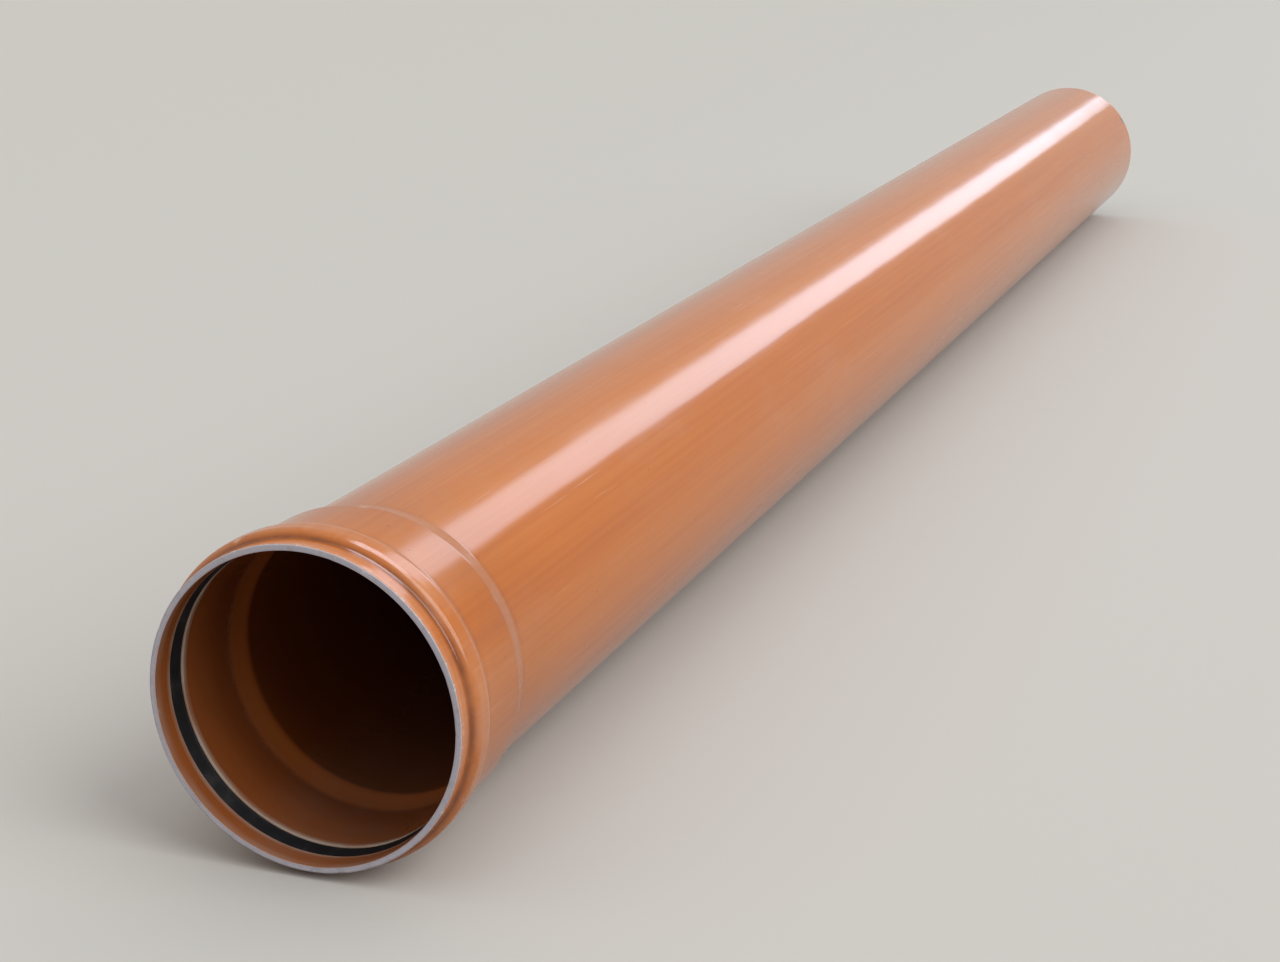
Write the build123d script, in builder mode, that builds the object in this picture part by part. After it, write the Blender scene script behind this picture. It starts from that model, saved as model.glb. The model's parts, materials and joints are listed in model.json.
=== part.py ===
"""
Straight PVC-U gravity sewer pipe DN/OD 400 with an integral ring-seal socket, and its rubber seal.

The pipe lies along Y. Its mouth faces -Y and its bevelled spigot faces +Y. The origin is on the
axis at the socket seat, where the straight socket bore ends and the root cone begins, so the
laying length runs from the origin to the spigot's end face.
"""

import os
from math import radians, tan

from build123d import *

# Pipe
pipe_radius = 200.0
wall = 9.8
laying_length = 5000.0

# Spigot bevel
bevel_length = 22.0
bevel_angle = 15.0

# Socket bore, which takes the next pipe's spigot
spigot_gap = 1.0
socket_depth = 175.0
socket_wall = 9.2

# Root cone, from the socket back to the pipe
root_length = 36.0
root_blend = 40.0

# Collar, in front of the seal groove
collar_depth = 35.0
collar_gap = 2.2
collar_wall = 8.8
lead_in_length = 7.0
lead_in_flare = 1.8
lip_round = 2.4

# Seal groove and the ridge over it
groove_width = 28.0
groove_floor_width = 20.0
groove_floor_depth = 11.4
groove_wall = 8.4
ridge_front_run = 9.0
ridge_back_run = 15.0
ridge_front_blend = 12.0
ridge_back_blend = 24.0
foot_front_blend = 5.0
foot_back_blend = 18.0

# Rubber seal
seal_gap = 0.3
seal_nose_drop = 1.6
seal_heel_drop = 2.0
seal_crest_gap = 0.4
seal_crest_share = 0.68
seal_lip_thickness = 2.8
seal_lip_overhang = 1.4
seal_notch_depth = 6.6
seal_notch_reach = 3.4
seal_notch_width = 4.8

# Radii that follow from the sizes above
pipe_bore_radius = pipe_radius - wall
socket_bore_radius = pipe_radius + spigot_gap
socket_outer_radius = socket_bore_radius + socket_wall
collar_bore_radius = pipe_radius + collar_gap
collar_outer_radius = collar_bore_radius + collar_wall
groove_floor_radius = socket_bore_radius + groove_floor_depth
ridge_radius = groove_floor_radius + groove_wall
bevel_end_radius = pipe_radius - bevel_length * tan(radians(bevel_angle))

# Places along Y that follow from the sizes above
mouth = -socket_depth
groove_front = mouth + collar_depth
groove_back = groove_front + groove_width
floor_front = groove_front + (groove_width - groove_floor_width) / 2
floor_back = floor_front + groove_floor_width
bevel_start = laying_length - bevel_length

# The pipe's section: corners as (radius, place along Y), each with its round
pipe_section = [
    # outside, from the mouth to the spigot
    ((collar_bore_radius + lead_in_flare, mouth), 0),
    ((collar_outer_radius, mouth), lip_round),
    ((collar_outer_radius, groove_front - ridge_front_run), foot_front_blend),
    ((ridge_radius, groove_front), ridge_front_blend),
    ((ridge_radius, groove_back), ridge_back_blend),
    ((socket_outer_radius, groove_back + ridge_back_run), foot_back_blend),
    ((socket_outer_radius, 0), root_blend),
    ((pipe_radius, root_length), root_blend),
    ((pipe_radius, bevel_start), 0),
    ((bevel_end_radius, laying_length), 0),
    # inside, from the spigot back to the mouth
    ((pipe_bore_radius, laying_length), 0),
    ((pipe_bore_radius, root_length), 0),
    ((socket_bore_radius, 0), 0),
    ((socket_bore_radius, groove_back), 0),
    ((groove_floor_radius, floor_back), 0),
    ((groove_floor_radius, floor_front), 0),
    ((collar_bore_radius, groove_front), 0),
    ((collar_bore_radius, mouth + lead_in_length), 0),
]

# The pipe: one turned section, because barrel and socket are one extrusion, belled while hot
with BuildPart() as pipe:
    with BuildSketch(Plane.XY):
        with BuildLine():
            FilletPolyline(
                [corner for corner, blend in pipe_section],
                radius=[blend for corner, blend in pipe_section],
                close=True,
            )
        make_face()
    revolve(axis=Axis.Y)

# The seal keeps its gap from the groove's floor and from its sloping sides
front_slope = (floor_front - groove_front) / (groove_floor_radius - collar_bore_radius)
back_slope = (groove_back - floor_back) / (groove_floor_radius - socket_bore_radius)
seal_base_radius = groove_floor_radius - seal_gap
seal_nose_radius = collar_bore_radius + seal_nose_drop
seal_heel_radius = socket_bore_radius + seal_heel_drop
seal_crest_radius = pipe_radius + seal_crest_gap
seal_front = groove_front + front_slope * seal_nose_drop + seal_gap
seal_back = groove_back - back_slope * seal_heel_drop - seal_gap
seal_crest = groove_front + groove_width * seal_crest_share

# The seal's section: nose, base and heel in the groove, then the notch, the lip and its crest
seal_section = [
    (seal_nose_radius, seal_front),
    (seal_base_radius, floor_front + seal_gap),
    (seal_base_radius, floor_back - seal_gap),
    (seal_heel_radius, seal_back),
    (seal_heel_radius, seal_crest + seal_notch_width),
    (seal_crest_radius + seal_notch_depth, seal_crest - seal_notch_reach),
    (seal_crest_radius + seal_lip_thickness, seal_crest + seal_lip_overhang),
    (seal_crest_radius, seal_crest),
]

# The seal ring, turned from its section and seated in the groove
with BuildPart() as seal_ring:
    with BuildSketch(Plane.XY):
        with BuildLine():
            Polyline(seal_section, close=True)
        make_face()
    revolve(axis=Axis.Y)

pipe.part.label = "pipe"
seal_ring.part.label = "seal_ring"

os.makedirs("parts", exist_ok=True)
export_step(pipe.part, "parts/pipe.step")
export_step(seal_ring.part, "parts/seal_ring.step")
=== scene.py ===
"""
Straight PVC-U sewer pipe with a ring-seal socket, dressed for a render.

The pipe lies along Y. Its mouth faces -Y and its bevelled spigot faces +Y, and the origin is on the
axis at the socket seat. Every turned piece is an outline of corners in the plane of radius and place,
rounded, divided and carried once round the axis.
"""

import json

import bpy
import numpy as np
from bpy.props import FloatProperty, FloatVectorProperty, IntProperty, PointerProperty, StringProperty
from bpy.types import Operator, Panel, PropertyGroup
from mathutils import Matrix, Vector


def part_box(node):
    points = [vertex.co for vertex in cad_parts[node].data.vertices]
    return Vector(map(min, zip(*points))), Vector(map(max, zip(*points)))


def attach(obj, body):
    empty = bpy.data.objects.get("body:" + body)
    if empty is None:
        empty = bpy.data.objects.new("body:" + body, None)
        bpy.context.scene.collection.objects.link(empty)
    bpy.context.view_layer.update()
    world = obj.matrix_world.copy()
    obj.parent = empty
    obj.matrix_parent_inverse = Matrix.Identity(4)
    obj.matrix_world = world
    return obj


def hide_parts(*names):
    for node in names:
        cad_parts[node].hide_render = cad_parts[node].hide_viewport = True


bl_info = {
    "name": "PVC sewer pipe",
    "version": (1, 0, 0),
    "blender": (4, 5, 0),
    "location": "3D View > Sidebar > Pipe",
    "description": "Dresses a socketed PVC-U sewer pipe and its rubber seal, and sets the studio round it",
    "category": "Add Mesh",
}

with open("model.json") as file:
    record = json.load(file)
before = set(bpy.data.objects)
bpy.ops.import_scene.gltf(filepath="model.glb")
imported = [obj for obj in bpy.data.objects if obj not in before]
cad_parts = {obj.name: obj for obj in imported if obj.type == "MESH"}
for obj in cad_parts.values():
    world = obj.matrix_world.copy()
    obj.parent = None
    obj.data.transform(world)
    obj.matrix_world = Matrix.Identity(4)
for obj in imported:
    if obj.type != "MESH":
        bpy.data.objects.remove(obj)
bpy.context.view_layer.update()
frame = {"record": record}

MM = 0.001
BODY = "root"
OUTSIDE, BORE, SAWN = range(3)

mounts = {mount["name"]: mount["dims"] for mount in frame["record"]["mounts"]}
pipe_low, pipe_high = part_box("pipe")


# Properties

def length(name, text, default):
    """A length in metres."""
    return FloatProperty(
        name=name, description=text, default=default, min=0.0, precision=4, unit="LENGTH", subtype="DISTANCE"
    )


def angle(name, text, degrees):
    """An angle, whose default is given in degrees."""
    return FloatProperty(name=name, description=text, default=np.radians(degrees), subtype="ANGLE")


def number(name, text, default, subtype="NONE"):
    """A number of 0 or more."""
    return FloatProperty(name=name, description=text, default=default, min=0.0, subtype=subtype)


def share(name, text, default):
    """A share from 0 to 1."""
    return FloatProperty(name=name, description=text, default=default, min=0.0, max=1.0, subtype="FACTOR")


def point(name, text, default):
    """A point in metres."""
    return FloatVectorProperty(
        name=name, description=text, default=default, precision=3, subtype="TRANSLATION"
    )


def extent(name, text, default):
    """A width and a length in metres."""
    return FloatVectorProperty(
        name=name, description=text, default=default, size=2, subtype="XYZ", unit="LENGTH"
    )


def colour(name, text, default):
    """A colour as an sRGB hex value."""
    return StringProperty(name=name, description=text, default=default, maxlen=7)


class PipeSizes(PropertyGroup):
    """Sizes of the barrel and the socket."""

    radius: length("Radius", "Outside radius of the plain pipe", mounts["spigot"]["r_mm"] * MM)
    bore: length("Bore radius", "Radius of the plain bore", mounts["pipe_bore"]["r_mm"] * MM)
    laying_length: length("Laying length", "From the socket seat to the spigot's end", pipe_high.y)
    bevel_length: length("Bevel length", "Length of the spigot's bevel", 22 * MM)
    bevel_angle: angle("Bevel angle", "Slope of the spigot's bevel", 15)
    socket_bore: length("Socket bore", "Radius of the straight socket bore", mounts["socket"]["r_mm"] * MM)
    socket_depth: length("Socket depth", "From the mouth to the socket seat", -pipe_low.y)
    straight_bore: length(
        "Straight bore", "From the seal groove to the seat", mounts["socket"]["length_mm"] * MM
    )
    socket_wall: length("Socket wall", "Wall round the straight socket bore", 9.2 * MM)
    root_length: length("Root length", "Length of the cone from the socket to the pipe", 36 * MM)
    root_blend: length("Root blend", "Round at both ends of the outside cone", 18 * MM)
    root_bore_blend: length("Root bore blend", "Round at both ends of the inside cone", 34 * MM)
    collar_gap: length("Collar gap", "Play round a spigot in the collar", 2.2 * MM)
    collar_wall: length("Collar wall", "Wall of the collar in front of the groove", 8.8 * MM)
    lead_in_length: length("Lead-in length", "Length of the flare at the mouth", 7 * MM)
    lead_in_flare: length("Lead-in flare", "Widening of the flare at the mouth", 0.3 * MM)
    lead_in_round: length("Lead-in round", "Round where the flare begins", 7.2 * MM)
    lip_round: length("Lip round", "Round of the mouth's outer edge", 2.4 * MM)
    groove_width: length("Groove width", "Width of the seal groove at the bore", 28 * MM)
    groove_floor_width: length("Groove floor width", "Width of the seal groove's floor", 20 * MM)
    groove_depth: length("Groove depth", "From the straight socket bore to the groove's floor", 11.4 * MM)
    groove_round: length("Groove round", "Round of the groove's edges and corners", 2.4 * MM)
    ridge_radius: length(
        "Ridge radius", "Largest radius, over the seal groove", min(*pipe_high.xz, *(-pipe_low.xz))
    )
    ridge_front_run: length("Ridge front run", "Length of the ridge's front slope", 9 * MM)
    ridge_back_run: length("Ridge back run", "Length of the ridge's back slope", 15 * MM)
    ridge_front_blend: length("Ridge front blend", "Round of the ridge's front shoulder", 12 * MM)
    ridge_back_blend: length("Ridge back blend", "Round of the ridge's back shoulder", 24 * MM)
    foot_front_blend: length("Front foot blend", "Round at the foot of the front slope", 5 * MM)
    foot_back_blend: length("Back foot blend", "Round at the foot of the back slope", 18 * MM)
    edge_round: length("Edge round", "Round of the sawn edges", 0.5 * MM)
    bevel_blend: length("Bevel blend", "Round where the bevel begins", 3 * MM)
    end_gap: length("End gap", "From a round to the next of the mesh's rings", 8 * MM)
    ring_gap: length("Ring gap", "Usual step between the mesh's rings along the barrel", 400 * MM)
    segments: IntProperty(name="Segments", description="Steps round the axis", default=480, min=32)


class SealSizes(PropertyGroup):
    """Sizes of the rubber seal's section."""

    gap: length("Gap", "Clearance between the seal and its groove", 0.3 * MM)
    nose_drop: length("Nose drop", "From the collar's bore to the seal's nose", 1.6 * MM)
    heel_drop: length("Heel drop", "From the straight bore to the seal's heel", 2.0 * MM)
    crest_gap: length("Crest gap", "From a spigot's wall to the lip's crest", 0.4 * MM)
    crest_share: share("Crest share", "Place of the lip's crest across the groove", 0.68)
    lip_thickness: length("Lip thickness", "Thickness of the lip at its crest", 2.8 * MM)
    lip_overhang: length("Lip overhang", "How far the lip's back edge leans past its crest", 1.4 * MM)
    notch_depth: length("Notch depth", "From the crest to the notch behind the lip", 6.6 * MM)
    notch_reach: length("Notch reach", "How far the notch runs under the lip", 3.4 * MM)
    notch_width: length("Notch width", "Width of the notch's opening", 4.8 * MM)
    edge_round: length("Edge round", "Round of the moulded edges", 0.5 * MM)
    base_round: length("Base round", "Round of the base's corners", 2.0 * MM)
    segments: IntProperty(name="Segments", description="Steps round the axis", default=480, min=32)


class WearSettings(PropertyGroup):
    """Wear of the edges."""

    fade: length("Fade", "How far a sharp edge's wear reaches", 2.2 * MM)
    count: IntProperty(name="Nicks", description="How many nicks the edges have", default=60, min=0)
    depth: length("Nick depth", "Depth of the deepest nick", 1.1 * MM)
    least_depth: share("Least depth", "Depth of the shallowest nick, as a share of the deepest", 0.15)
    bare_depth: share("Bare depth", "Depth that looks wholly rubbed, as a share of the deepest nick", 0.4)
    reach: length("Nick reach", "Half the length of the longest nick", 9 * MM)
    least_reach: share("Least reach", "Reach of the shortest nick, as a share of the longest", 0.35)
    across: share("Nick across", "A nick's reach across its edge, as a share of its reach along it", 0.5)
    seed: IntProperty(name="Seed", description="Start of the random places and sizes", default=4)


class MarkSizes(PropertyGroup):
    """Size and place of the painted check mark near the spigot."""

    length: length("Length", "Length along the pipe", 14 * MM)
    width: length("Width", "Length round the pipe", 21 * MM)
    film: length("Film", "Thickness of the dried paint", 0.35 * MM)
    from_end: length("From the end", "From the spigot's end to the mark's middle", 36 * MM)
    turn: angle("Turn", "Place round the pipe, from the top", 58)


class FinishSettings(PropertyGroup):
    """Colours of the finishes, and the coloured skin's thickness."""

    pvc: colour("PVC", "Orange-brown of the skin", "#C66D1D")
    pvc_deep: colour("Deep PVC", "Darker streaks of the skin", "#BA5F15")
    pvc_pale: colour("Pale PVC", "Lighter streaks of the skin", "#D07C31")
    bloom: colour("Bloom", "Chalky film of weathered PVC", "#C9A08E")
    scuff: colour("Scuff", "Rubbed and scratched PVC", "#E3B79C")
    core: colour("Core", "Sawn face of the wall", "#B8B0BE")
    core_pale: colour("Pale core", "Chips and swarf on the sawn face", "#D6D5DC")
    core_soiled: colour("Soiled core", "Dirt smeared on the sawn face", "#8D8280")
    # The bore's colours hold painted shade and light: the bore and its barrel darker than the skin as painted
    # shade, the cone paler as painted light
    bore: colour("Bore", "Duller PVC of the bore", "#9E5728")
    bore_deep: colour("Deep bore", "Darker rings and clouds of the bore", "#8A481F")
    bore_cone_light: colour("Bore cone", "Bore where the root cone stretched it", "#B26530")
    bore_barrel_shade: colour("Bore barrel", "Bore behind the socket", "#783F1B")
    # The dirt colour is also painted shade in the hollows; in the specks it is dirt alone
    dust: colour("Dust", "Dust on the skin and in the bore", "#B9A798")
    dirt: colour("Dirt", "Damp dirt in the hollows", "#632C12")
    rubber: colour("Rubber", "Black of the seal", "#111115")
    rubber_dust: colour("Rubber dust", "Dust on the seal", "#4C4744")
    paint: colour("Paint", "Check mark near the spigot", "#3E8BA6")
    paint_dark: colour("Dark paint", "Thick edge of the check mark", "#12384C")
    skin: length("Skin", "Coloured skin over the wall's grey core", 0.5 * MM)


class PatternSizes(PropertyGroup):
    """Widths of the finishes' patterns. The finest are drawn several times too coarse, so that they show."""

    broad_streak: length("Broad streak", "Width of the skin's broad streaks", 70 * MM)
    fine_streak: length("Fine streak", "Width of the sleeve's drawn lines, coarse so that they show", 7 * MM)
    film_patch: length("Film patch", "Width of the chalky film's patches", 160 * MM)
    cloud: length("Cloud", "Width of the clouds of dust on the skin", 40 * MM)
    scratch: length("Scratch", "Least gap of the scratches, coarse so that they show", 3.4 * MM)
    scratched: length("Scratched field", "Width of the fields that have scratches", 300 * MM)
    speck: length("Speck", "Gap of the cells whose points may be specks of dirt", 35 * MM)
    wave: length("Wave", "Width of the waves that the haul-off leaves", 110 * MM)
    peel: length("Orange peel", "Width of the skin's dimples, coarse so that they show", 8 * MM)
    mandrel_ring: length("Mandrel ring", "Gap of the socket's faint rings, coarse so that they show", 6 * MM)
    air_ring: length("Air ring", "Gap of the rings that the calibrating air leaves in the bore", 60 * MM)
    bore_cloud: length("Bore cloud", "Width of the clouds in the bore", 50 * MM)
    wander: length("Wander", "Width of the waves in the skin's inner face", 12 * MM)
    cutter_ring: length("Cutter ring", "Gap of the cutter's rings on a sawn face", 5 / 6 * MM)
    blotch: length("Blotch", "Width of the smears on a sawn face", 30 * MM)
    chip: length("Chip", "Gap of the chips along a sawn edge", 5 * MM)
    rubber_line: length("Rubber line", "Gap of the lines along the seal", 1.6 * MM)
    rubber_cloud: length("Rubber cloud", "Width of the clouds of dust on the seal", 30 * MM)
    paint_cloud: length("Paint cloud", "Width of the clouds in the paint", 3 * MM)


class StudioSettings(PropertyGroup):
    """Floor, lamps and camera."""

    floor: colour("Floor", "Colour of the floor", "#CBC9C5")
    floor_bounce: colour("Floor bounce", "Colour of the floor in the light that it throws back", "#726E69")
    floor_reach: length("Floor reach", "Half the floor's side", 150.0)
    sky: colour("Sky", "Colour of the backdrop over the floor", "#EDEBE7")
    backdrop: number("Backdrop", "The sky as it is seen and mirrored", 0.71)
    sky_low: number("Low sky", "The sky's light at the horizon", 0.35)
    sky_high: number("High sky", "The sky's light overhead", 1.0)
    key_power: number("Key power", "The key's light in watts per square metre", 1.75)
    key_angle: angle("Key angle", "How wide the key looks", 50)
    key_from: FloatVectorProperty(
        name="Key from", description="Direction that the key comes from", default=(0.79, -0.15, 0.60),
        subtype="DIRECTION",
    )
    gloss_tint: colour("Gloss tint", "Cool white of the strip and overhead lamps", "#DDEBFF")
    strip_power: number("Strip power", "Power of the strip lamp", 275.0, "POWER")
    strip_size: extent("Strip size", "Width and length of the strip lamp", (1.7, 19.0))
    strip_place: point("Strip place", "Where the strip lamp hangs, facing down", (0.95, 11.5, 3.2))
    overhead_power: number("Overhead power", "Power of the overhead lamp", 140.0, "POWER")
    overhead_size: extent("Overhead size", "Width and length of the overhead lamp", (2.0, 3.0))
    overhead_place: point("Overhead place", "Where the overhead lamp hangs, facing down", (0.8, 0.6, 3.3))
    camera_place: point("Camera place", "Where the camera stands", (1.290, -2.516, 1.044))
    camera_aim: point("Camera aim", "What the camera looks at", (0.0, 1.011, -0.029))
    lens: number("Lens", "Focal length in millimetres", 66.0)


class SewerPipe(PropertyGroup):
    """All settings of the pipe."""

    pipe: PointerProperty(type=PipeSizes)
    seal: PointerProperty(type=SealSizes)
    wear: PointerProperty(type=WearSettings)
    mark: PointerProperty(type=MarkSizes)
    finish: PointerProperty(type=FinishSettings)
    pattern: PointerProperty(type=PatternSizes)
    studio: PointerProperty(type=StudioSettings)


# Outlines

def unit(vectors):
    """Each vector of the last axis over its own length."""
    return vectors / np.linalg.norm(vectors, axis=-1, keepdims=True)


def rounded(corners, steps=7):
    """
    A closed outline of corners (radius, place, round, ...), each made an arc, with the outward normals.

    u and w point from a corner to its two neighbours and h is half the angle between them. The arc
    leaves each side at round / tan(h) from the corner, and its centre lies at round / sin(h) along
    the sum of u and w. Its points are turned evenly from the first radius to the second, by the
    weights sin((1 - s) a) / sin(a) and sin(s a) / sin(a), where a is the arc's angle.
    The outline runs with the material on its right, so an arc's normal points away from its centre
    at an outer corner and towards it at an inner one.
    """
    corner, blend = corners[:, None, :2], corners[:, None, 2:3]
    u = unit(np.roll(corner, 1, axis=0) - corner)
    w = unit(np.roll(corner, -1, axis=0) - corner)
    half = np.arccos(np.clip((u * w).sum(-1, keepdims=True), -1, 1)) / 2
    centre = corner + unit(u + w) * blend / np.sin(half)
    first = corner + u * blend / np.tan(half) - centre
    last = corner + w * blend / np.tan(half) - centre
    arc = np.pi - 2 * half
    s = np.linspace(0, 1, steps)[None, :, None]
    spoke = (np.sin((1 - s) * arc) * first + np.sin(s * arc) * last) / np.sin(arc)
    side = np.sign(u[..., 1:] * w[..., :1] - u[..., :1] * w[..., 1:])
    normal = unit(spoke) * side
    return (centre + spoke).reshape(-1, 2), normal.reshape(-1, 2)


def divided(points, normals, gap, guard):
    """
    The outline with points added along its long runs, and the normals at its points.

    A run longer than twice the guard gets a point one guard from each of its ends, so that what its
    corners carry fades out there. The rest are at whole multiples of the gap along the outline, apart
    from those within a fifth of the gap of another point.
    """
    loop = np.vstack([points, points[:1]])
    along = np.concatenate([[0], np.cumsum(np.linalg.norm(np.diff(loop, axis=0), axis=1))])
    long = np.diff(along) > 2 * guard
    place = np.concatenate([along[:-1], along[:-1][long] + guard, along[1:][long] - guard])
    extra = np.arange(gap, along[-1], gap)
    extra = extra[np.abs(extra[:, None] - place).min(axis=1) > gap / 5]
    place = np.sort(np.concatenate([place, extra]))
    both = np.column_stack([loop, np.vstack([normals, normals[:1]])])
    both = np.column_stack([np.interp(place, along, column) for column in both.T])
    return both[:, :2], unit(both[:, 2:])


def worn(points, corners, reach):
    """
    How rubbed each point of an outline is, and how much dirt and painted shade it takes in the hollows, from
    its corners' columns for that.

    A corner's wear fades with the distance d as exp(-(d / (reach + round / 2)) squared), and the
    strongest corner counts.
    """
    distance = np.linalg.norm(points[:, None] - corners[None, :, :2], axis=2)
    fading = np.exp(-(distance / (reach + corners[:, 2] / 2)) ** 2)
    return (fading[:, :, None] * corners[:, 3:5]).max(axis=1).T


def groove(sizes):
    """The seal groove: its front and back at the bore, and its floor's front, back and radius."""
    back = -sizes.straight_bore
    front = back - sizes.groove_width
    inset = (sizes.groove_width - sizes.groove_floor_width) / 2
    return front, back, front + inset, back - inset, sizes.socket_bore + sizes.groove_depth


def pipe_outline(sizes):
    """
    Corners of the pipe's section, outside from the mouth, then back inside.

    Each is (radius, place, round, rubbed, dirt and painted shade in the hollows, share of the nicks).
    """
    mouth = -sizes.socket_depth
    groove_front, groove_back, floor_front, floor_back, groove_floor = groove(sizes)
    collar_bore = sizes.radius + sizes.collar_gap
    collar_outside = collar_bore + sizes.collar_wall
    socket_outside = sizes.socket_bore + sizes.socket_wall
    bevel_start = sizes.laying_length - sizes.bevel_length
    bevel_end_radius = sizes.radius - sizes.bevel_length * np.tan(sizes.bevel_angle)
    return np.array([
        (collar_bore + sizes.lead_in_flare, mouth, sizes.edge_round, 0.35, 0, 4),
        (collar_outside, mouth, sizes.lip_round, 0.9, 0, 6),
        (collar_outside, groove_front - sizes.ridge_front_run, sizes.foot_front_blend, 0, 0.8, 0),
        (sizes.ridge_radius, groove_front, sizes.ridge_front_blend, 0.2, 0, 2),
        (sizes.ridge_radius, groove_back, sizes.ridge_back_blend, 0.15, 0, 1),
        (socket_outside, groove_back + sizes.ridge_back_run, sizes.foot_back_blend, 0, 0.3, 0),
        (socket_outside, 0, sizes.root_blend, 0.1, 0, 1),
        (sizes.radius, sizes.root_length, sizes.root_blend, 0, 0.25, 0),
        (sizes.radius, bevel_start, sizes.bevel_blend, 0.8, 0, 2),
        (bevel_end_radius, sizes.laying_length, sizes.edge_round, 1, 0, 4),
        (sizes.bore, sizes.laying_length, sizes.edge_round, 0.8, 0, 2),
        (sizes.bore, sizes.root_length, sizes.root_bore_blend, 0, 0, 0),
        (sizes.socket_bore, 0, sizes.root_bore_blend, 0, 0.3, 0),
        (sizes.socket_bore, groove_back, sizes.groove_round, 1, 0, 0),
        (groove_floor, floor_back, sizes.groove_round, 0, 0.4, 0),
        (groove_floor, floor_front, sizes.groove_round, 0, 0.4, 0),
        (collar_bore, groove_front, sizes.groove_round, 0.7, 0, 0),
        (collar_bore, mouth + sizes.lead_in_length, sizes.lead_in_round, 0.25, 0, 0),
    ])


def seal_outline(sizes, seal):
    """Corners (radius, place, round) of the seal's section: nose, base, heel, notch, lip and crest."""
    groove_front, groove_back, floor_front, floor_back, groove_floor = groove(sizes)
    collar_bore = sizes.radius + sizes.collar_gap
    front_slope = (floor_front - groove_front) / (groove_floor - collar_bore)
    back_slope = (groove_back - floor_back) / (groove_floor - sizes.socket_bore)
    front = groove_front + front_slope * seal.nose_drop + seal.gap
    back = groove_back - back_slope * seal.heel_drop - seal.gap
    base = groove_floor - seal.gap
    heel = sizes.socket_bore + seal.heel_drop
    crest = groove_front + sizes.groove_width * seal.crest_share
    crest_radius = sizes.radius + seal.crest_gap
    return np.array([
        (collar_bore + seal.nose_drop, front, seal.edge_round),
        (base, floor_front + seal.gap, seal.base_round),
        (base, floor_back - seal.gap, seal.base_round),
        (heel, back, seal.edge_round),
        (heel, crest + seal.notch_width, seal.edge_round),
        (crest_radius + seal.notch_depth, crest - seal.notch_reach, seal.edge_round),
        (crest_radius + seal.lip_thickness, crest + seal.lip_overhang, seal.edge_round),
        (crest_radius, crest, seal.edge_round),
    ])


# Meshes

def grid_faces(rows, columns):
    """Quads over a grid that closes both ways, each facing the side that its row and column turn to."""
    row, column = np.meshgrid(np.arange(rows), np.arange(columns), indexing="ij")
    below, beside = (row + 1) % rows, (column + 1) % columns
    return np.stack(
        [row * columns + column, row * columns + beside, below * columns + beside, below * columns + column],
        axis=-1,
    ).reshape(-1, 4)


def new_mesh(name, points, faces, normals=None):
    """A smooth mesh object at the origin from an array of points and a list of arrays of faces."""
    mesh = bpy.data.meshes.new(name)
    size = np.concatenate([np.full(len(block), block.shape[1]) for block in faces])
    corner = np.concatenate([block.ravel() for block in faces])
    mesh.vertices.add(len(points))
    mesh.vertices.foreach_set("co", points.astype(np.float32).ravel())
    mesh.loops.add(len(corner))
    mesh.loops.foreach_set("vertex_index", corner.astype(np.int32))
    mesh.polygons.add(len(size))
    mesh.polygons.foreach_set("loop_start", (np.cumsum(size) - size).astype(np.int32))
    mesh.update(calc_edges=True)
    mesh.shade_smooth()
    if normals is not None:
        mesh.normals_split_custom_set_from_vertices(normals.astype(np.float32))
    piece = bpy.data.objects.new(name, mesh)
    bpy.context.scene.collection.objects.link(piece)
    return piece


def spun(pairs, segments):
    """
    Carries pairs of (outward, along) once round the Y axis.

    At the turn t a pair (p, q) becomes (p sin t, q, p cos t), so a turn of 0 is the top.
    """
    turn = np.linspace(0, 2 * np.pi, segments, endpoint=False)
    spin = np.stack([np.sin(turn), np.zeros_like(turn), np.cos(turn)], axis=-1)
    axis = np.array([0.0, 1.0, 0.0])
    pairs = pairs if pairs.ndim == 3 else pairs[:, None]
    return pairs[..., :1] * spin + pairs[..., 1:] * axis


def turned(name, points, normals):
    """The closed surface through rings of points, which were carried round the axis."""
    rows, segments = points.shape[:2]
    return new_mesh(name, points.reshape(-1, 3), [grid_faces(rows, segments)], unit(normals).reshape(-1, 3))


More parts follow.
